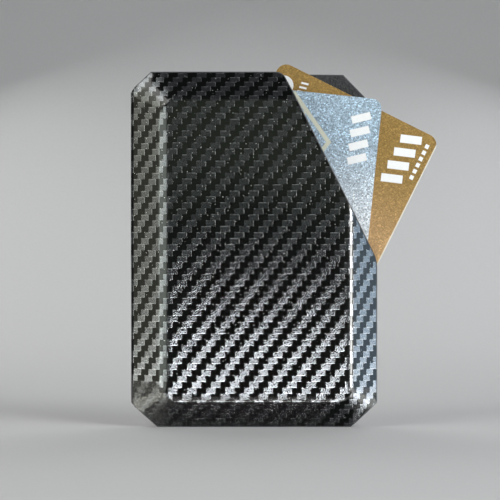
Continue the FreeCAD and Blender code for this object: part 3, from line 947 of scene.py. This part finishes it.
def rim_material():
    """The sheet's trimmed edge: cut through its layers and burnished."""
    g = Graph("burnished_rim")
    layers = g.streaks((0.6, 9.0, 0.6), 2)
    nicks = g.noise(g.millimetres(), 2.2, 4, 0.7)
    level = g.times_plus(nicks, 0.9, g.times(layers, 0.35))
    colour = g.tint(level, grey(0.012), grey(0.10, -0.03))
    rough = g.times_plus(nicks, 0.3, 0.2)
    return g.surface(base_color=colour, roughness=rough, normal=g.bump(nicks, 0.04), coat_weight=0.2)


def brushed_steel():
    """Spring steel brushed along the strip."""
    g = Graph("brushed_spring_steel")
    lines = g.streaks((0.12, 0.0, 7.0), 4, 0.7)
    cloud = g.noise(g.millimetres(), 0.15, 3)
    level = g.times_plus(lines, 0.6, g.times(cloud, 0.4))
    colour = g.tint(level, (0.42, 0.43, 0.44, 1), (0.70, 0.70, 0.69, 1))
    rough = g.times_plus(lines, 0.18, g.times_plus(cloud, 0.12, 0.16))
    return g.surface(
        base_color=colour, metallic=1.0, roughness=rough, anisotropic=0.5,
        normal=g.bump(lines, 0.01),
    )


def turned_steel():
    """Screws and posts: turned in rings about their axes, which run along Y."""
    g = Graph("turned_fastener_steel")
    x, y, z = g.split(g.millimetres())
    aside = g.math("POWER", g.minus(x, SCREW_X), 2.0)
    above = [g.math("POWER", g.minus(z, height), 2.0) for height in SCREW_HEIGHTS]
    from_axis = g.math("SQRT", g.plus(g.math("MINIMUM", *above), aside))
    rings = g.noise(g.combine(g.times(from_axis, 6.0), g.times(y, 4.0)), 1, 3)
    grime = g.noise(g.combine(x, y, z), 1.2, 3)
    colour = g.tint(grime, (0.30, 0.30, 0.31, 1), (0.62, 0.62, 0.61, 1))
    rough = g.times_plus(rings, 0.25, 0.14)
    return g.surface(base_color=colour, metallic=1.0, roughness=rough, normal=g.bump(rings, 0.012))


# A card's face is painted lightest this far below its middle, as painted light, and darker over these
# distances from there, as painted shade
CARD_PAINTED_LIGHT_DROP = 8.0
CARD_PAINTED_LIGHT_REACH = 2.0
CARD_PAINTED_SHADE_REACH = 41.0
# The pale line of core along a cut edge starts and is full this far from the edge
CORE_LINE_START = 0.42
CORE_LINE_FULL = 0.22


def card_material(name, place, end, middle, contrast, core_line):
    """Metallic ink with flecks, over a pale core, with painted light: a pale band below
    the middle that darkens towards the ends, and the brightest flecks painted as glints.
    The core shows round the edges and, where core_line is 1, as a thin line on the
    face along the right edge."""
    g = Graph(name)
    where = g.millimetres()
    x, _, z = g.split(where)
    x = g.minus(x, place.centre[0])
    z = g.minus(z, place.centre[1])
    across = g.plus(g.times(x, place.across[0]), g.times(z, place.across[1]))
    along = g.plus(g.times(x, place.along[0]), g.times(z, place.along[1]))
    # Painted light and shade: the face is painted from the middle colour, lightest below the card's
    # middle, to the end colour, darker towards the ends
    from_painted_light = g.math("ABSOLUTE", g.plus(along, CARD_PAINTED_LIGHT_DROP))
    painted_light_and_shade = g.tint(g.step(from_painted_light, CARD_PAINTED_LIGHT_REACH, CARD_PAINTED_SHADE_REACH), middle, end)
    _, random = g.cells(where, 3.0)
    fleck, tilt, _ = g.split(random)
    fine = g.noise(where, 4.5, 1)
    level = g.times_plus(fleck, contrast, 1.0 - contrast * 0.5)
    level = g.times(level, g.times_plus(fine, 1.1, 0.45))
    # Painted glints: the brightest flecks are painted lighter still
    glint = g.step(fleck, 0.86, 0.97, 0.0, 0.5)
    level = g.plus(level, g.times(glint, contrast))
    printed_with_painted_light = g.vector("MULTIPLY", painted_light_and_shade, g.combine(level, level, level))
    _, facing, _ = g.split(g.add("TexCoord").outputs["Normal"])
    is_face = g.step(g.math("ABSOLUTE", facing), 0.55, 0.85)
    edge = CARD_WIDTH / 2
    is_inked = g.step(across, edge - CORE_LINE_START, edge - CORE_LINE_FULL, 1.0, 1.0 - core_line)
    is_face = g.times(is_face, is_inked)
    core = g.tint(fine, (0.62, 0.58, 0.48, 1), (0.86, 0.83, 0.74, 1))
    colour = g.tint(is_face, core, printed_with_painted_light)
    rough = g.times_plus(fleck, 0.2, 0.38)
    relief = g.times_plus(tilt, 0.6, fine)
    return g.surface(
        base_color=colour, metallic=g.times(is_face, 0.35), roughness=rough,
        normal=g.bump(relief, 0.008), coat_weight=0.15, coat_roughness=0.2,
    )


def ink_material(name, low, high):
    """Printed ink, slightly patchy."""
    g = Graph(name)
    where = g.millimetres()
    patchy = g.noise(where, 1.1, 3)
    fine = g.noise(where, 5.0, 2)
    colour = g.tint(g.times_plus(patchy, 0.6, g.times(fine, 0.4)), low, high)
    rough = g.times_plus(fine, 0.2, 0.35)
    return g.surface(base_color=colour, roughness=rough, normal=g.bump(fine, 0.006))


def metal_plate(name, low, high, shine):
    """Worn metal plating, as on a chip's contacts and in the gaps between them."""
    g = Graph(name)
    wear = g.noise(g.millimetres(), 0.8, 4, 0.65)
    scratches = g.streaks((6.0, 1.0, 0.8), 3)
    colour = g.tint(g.times_plus(wear, 0.7, g.times(scratches, 0.4)), low, high)
    rough = g.times_plus(wear, 0.25, shine)
    return g.surface(base_color=colour, metallic=1.0, roughness=rough, normal=g.bump(scratches, 0.01))


def tape_material():
    """Magnetic tape: almost black, faintly streaked along its length."""
    g = Graph("magnetic_tape")
    streaks = g.streaks((5.0, 1.0, 0.25), 3)
    colour = g.tint(streaks, (0.006, 0.005, 0.005, 1), (0.030, 0.026, 0.024, 1))
    rough = g.times_plus(streaks, 0.2, 0.22)
    return g.surface(base_color=colour, roughness=rough, normal=g.bump(streaks, 0.006), coat_weight=0.3)


# ---- putting it together


def dress_node(name, material, round_edges):
    """Gives a CAD node its material and, by modifiers, softly rounded edges."""
    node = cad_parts[name]
    node.data.materials.clear()
    node.data.materials.append(material)
    weld = node.modifiers.new("weld", "WELD")
    weld.merge_threshold = TOLERANCE
    bevel = node.modifiers.new("round_edges", "BEVEL")
    bevel.width = round_edges * MM
    bevel.segments = 3
    bevel.limit_method = "ANGLE"
    bevel.angle_limit = math.radians(40)
    bevel.use_clamp_overlap = True
    bevel.harden_normals = True


# In the order of the sheet's slots: woven, pebbled, trimmed
sheet = [weave_material(), pebble_material(), rim_material()]
front_leaf, seam_points, front_chain = make_front_leaf(sheet)
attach(front_leaf, "front_half")
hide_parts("front_leaf")

spine_fold, fold_u = make_spine_fold(seam_points, front_chain, sheet)
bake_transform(spine_fold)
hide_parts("spine_fold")

back_leaf = make_back_leaf(fold_u, sheet)
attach(back_leaf, "back_half")
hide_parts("back_leaf")

note_clip = make_note_clip(brushed_steel())
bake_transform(note_clip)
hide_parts("clip_foot", "clip_arm")

# How far edges are rounded, in millimetres
FASTENER_ROUND = 0.08
CARD_ROUND = 0.12
CHIP_ROUND = 0.03
STRIPE_ROUND = 0.01

fasteners = turned_steel()
for level, part in product(("upper", "lower"), ("clip_screw", "screw_post")):
    dress_node(f"{level}_{part}", fasteners, FASTENER_ROUND)

silver_place = CardPlace(8.0, 59.85, 5.9, 1.64)
gold_place = CardPlace(13.54, 61.18, 26.5, 0.82)
# Each card's middle colour is painted light and its end colour painted shade
silver = card_material(
    "silver_card_face", silver_place, end=(0.37, 0.485, 0.58, 1), middle=(0.86, 0.90, 0.93, 1),
    contrast=0.9, core_line=0.0,
)
gold = card_material(
    "gold_card_face", gold_place, end=(0.32, 0.20, 0.055, 1), middle=(0.57, 0.365, 0.18, 1),
    contrast=0.5, core_line=1.0,
)
plate_gap = metal_plate("contact_gap", (0.20, 0.15, 0.07, 1), (0.32, 0.25, 0.13, 1), 0.45)
contact = metal_plate("contact_plating", (0.62, 0.46, 0.18, 1), (0.90, 0.74, 0.42, 1), 0.2)
tape = tape_material()
white_ink = ink_material("white_ink", (0.74, 0.76, 0.76, 1), (0.92, 0.93, 0.92, 1))
cream_ink = ink_material("cream_ink", (0.55, 0.56, 0.44, 1), (0.72, 0.73, 0.60, 1))

# The chip's centre, measured from the card's
CHIP_ACROSS = 23.9 - CARD_WIDTH / 2
CHIP_ALONG = 15.1 - CARD_LENGTH / 2
# Its contacts: two columns of four pads, and one long pad between them, each a
# width, a height and a corner radius
PAD = (3.7, 2.75, 0.4)
LONG_PAD = (3.2, 11.9, 0.6)
PAD_COLUMN = 3.75
PAD_PITCH = 3.05

contact_outlines = []
for side, level in product((-1, 1), (-1.5, -0.5, 0.5, 1.5)):
    pad_centre = (CHIP_ACROSS + side * PAD_COLUMN, CHIP_ALONG + level * PAD_PITCH)
    contact_outlines.append(rounded_patch(pad_centre, *PAD))
contact_outlines.append(rounded_patch((CHIP_ACROSS, CHIP_ALONG), *LONG_PAD))
cards = (("silver_card", silver, silver_place), ("gold_card", gold, gold_place))
for card, material, place in cards:
    dress_node(card, material, CARD_ROUND)
    dress_node(card + "_chip", plate_gap, CHIP_ROUND)
    dress_node(card + "_magnetic_stripe", tape, STRIPE_ROUND)
    pads = make_prints(card + "_contacts", place, contact_outlines, contact)
    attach(pads, card)

# Plain marks in place of the cards' printing, in millimetres from each card's centre
silver_marks = parallel_bars(18.3, 23.9, 2.0, (23.0, 27.2, 31.4, 35.6), 2.3)
silver_print = make_prints("silver_card_bars", silver_place, silver_marks, white_ink)
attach(silver_print, "silver_card")
stripe = [band_outline([(-0.2, 42.3), (12.0, 28.2), (0.0, 9.5)], 1.25)]
stripe.append(band_outline([(-3.0, 35.6), (4.0, 36.3)], 1.1))
silver_stripe = make_prints("silver_card_chevron", silver_place, stripe, cream_ink)
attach(silver_stripe, "silver_card")

gold_marks = parallel_bars(16.0, 22.2, 2.2, (24.6, 29.0, 33.4, 37.8), 2.5)
gold_marks += parallel_bars(24.4, 24.4, 1.3, np.arange(28.0, 39.0, 2.1), 1.2)
gold_marks.append(full_circle((-23.1, 36.4), 3.0))
gold_marks += parallel_bars(-18.6, -16.4, 0.5, (36.7, 38.1, 39.5), 0.6)
gold_print = make_prints("gold_card_bars", gold_place, gold_marks, white_ink)
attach(gold_print, "gold_card")


# ---- studio: pale floor swept up into a backdrop, soft lights, and the camera


# How far the backdrop reaches in front and to the sides, behind and up, and its bend
BACKDROP_REACH = 2500
BACKDROP_BEHIND = 900
BACKDROP_HEIGHT = 2400
BACKDROP_BEND = 500
BACKDROP_STEP = 60


def studio_material():
    g = Graph("pale_paper")
    fibre = g.noise(g.millimetres(), 0.6, 3)
    colour = g.tint(fibre, grey(0.60), grey(0.64))
    return g.surface(base_color=colour, roughness=0.9)


def make_backdrop():
    """A sheet that lies flat and turns up far behind the object."""
    corners = [(-BACKDROP_REACH, 0), (BACKDROP_BEHIND, 0), (BACKDROP_BEHIND, BACKDROP_HEIGHT)]
    profile = rounded_chain(corners, [0, BACKDROP_BEND, 0], BACKDROP_STEP)
    points = [(x, y, z) for y, z in profile for x in (-BACKDROP_REACH, BACKDROP_REACH)]
    faces = [(2 * i, 2 * i + 1, 2 * i + 3, 2 * i + 2) for i in range(len(profile) - 1)]
    backdrop = add_object("backdrop", points, faces, [studio_material()])
    # Low lights shine through it, as through a light table
    backdrop.visible_glossy = False
    backdrop.visible_shadow = False


# The middle of the view, and the low middle of the pocket's face
AIM = Vector((-1.15, -5.0, 53.8)) * MM
LOW_AIM = Vector((-1.15, -10.0, 22.5)) * MM


def area_light(name, azimuth, elevation, distance, width, height, power, colour, aim=AIM, spread=180):
    """A soft light that the camera doesn't see, aimed from this azimuth, right of the
    camera, and elevation.  Degrees, metres and watts; spread is its beam's width."""
    a, e = math.radians(azimuth), math.radians(elevation)
    away = Vector((math.sin(a) * math.cos(e), -math.cos(a) * math.cos(e), math.sin(e)))
    data = bpy.data.lights.new(name, "AREA")
    data.shape = "RECTANGLE"
    data.size, data.size_y = width, height
    data.energy = power
    data.color = colour
    data.spread = math.radians(spread)
    light = bpy.data.objects.new(name, data)
    light.location = aim + away * distance
    light.rotation_euler = away.to_track_quat("Z", "Y").to_euler()
    light.visible_camera = False
    bpy.context.scene.collection.objects.link(light)


make_backdrop()
# Broad light on everything
area_light("fill_left", -45, 32, 0.9, 0.5, 0.5, 2.2, (1.0, 1.0, 0.98))
area_light("fill_right", 45, 32, 0.9, 0.5, 0.5, 3.5, (0.97, 0.98, 1.0))
# A narrow beam that the face's weft returns more and more towards its foot
area_light(
    "low_front", 0, -27, 0.14, 0.12, 0.02, 0.0108, (0.97, 0.98, 1.0), aim=LOW_AIM, spread=23,
)
# Low lights beside the side walls, and weaker ones on their upper parts
area_light("low_left", -71, -28, 0.20, 0.12, 0.06, 0.17, (1.0, 1.0, 0.94))
area_light("low_right", 71, -28, 0.20, 0.12, 0.06, 0.22, (0.96, 0.98, 1.0))
area_light("upper_left", -71, 25, 0.5, 0.2, 0.2, 0.15, (1.0, 1.0, 0.86))
area_light("upper_right", 71, 25, 0.5, 0.2, 0.2, 0.10, (0.9, 0.95, 1.0))
# Bright lines on the right and left bends
area_light("strip_right", 42, 0, 0.8, 0.20, 0.18, 2.3, (1.0, 1.0, 1.0))
area_light("glow_left", -46, 0, 0.8, 0.5, 0.22, 0.8, (0.92, 1.0, 0.93))
# Warm haze in the left wall's lacquer, blue in the right one's, green over the face
area_light("side_left", -70, 0, 0.7, 0.3, 0.4, 0.15, (1.0, 0.95, 0.76))
area_light("side_right", 72, 0, 0.7, 0.3, 0.4, 0.6, (0.58, 0.79, 1.0))
area_light("glow_top", 0, 5.5, 0.9, 0.7, 0.09, 0.05, (0.86, 1.0, 0.74))
# The back, for views from behind
area_light("back_left", -150, 30, 0.7, 0.5, 0.5, 1.2, (1.0, 1.0, 0.98))
area_light("back_right", 150, 30, 0.7, 0.5, 0.5, 1.2, (0.97, 0.98, 1.0))
area_light("back_low", 180, -18, 0.8, 2.0, 0.5, 2.0, (1.0, 1.0, 1.0))

world = bpy.data.worlds.new("studio")
world.use_nodes = True
background = world.node_tree.nodes["Background"]
background.inputs["Color"].default_value = (0.30, 0.31, 0.33, 1)
background.inputs["Strength"].default_value = 0.2
bpy.context.scene.world = world
bpy.context.scene.view_settings.view_transform = "Standard"

# In metres: how far off the camera stands, and how wide its view is there
CAMERA_DISTANCE = 0.70
SEEN_WIDTH = 0.1529
camera_data = bpy.data.cameras.new("camera")
camera_data.lens = camera_data.sensor_width * CAMERA_DISTANCE / SEEN_WIDTH
camera = bpy.data.objects.new("camera", camera_data)
camera.location = (AIM.x, -CAMERA_DISTANCE, AIM.z)
camera.rotation_euler = (math.pi / 2, 0, 0)
bpy.context.scene.collection.objects.link(camera)
bpy.context.scene.camera = camera
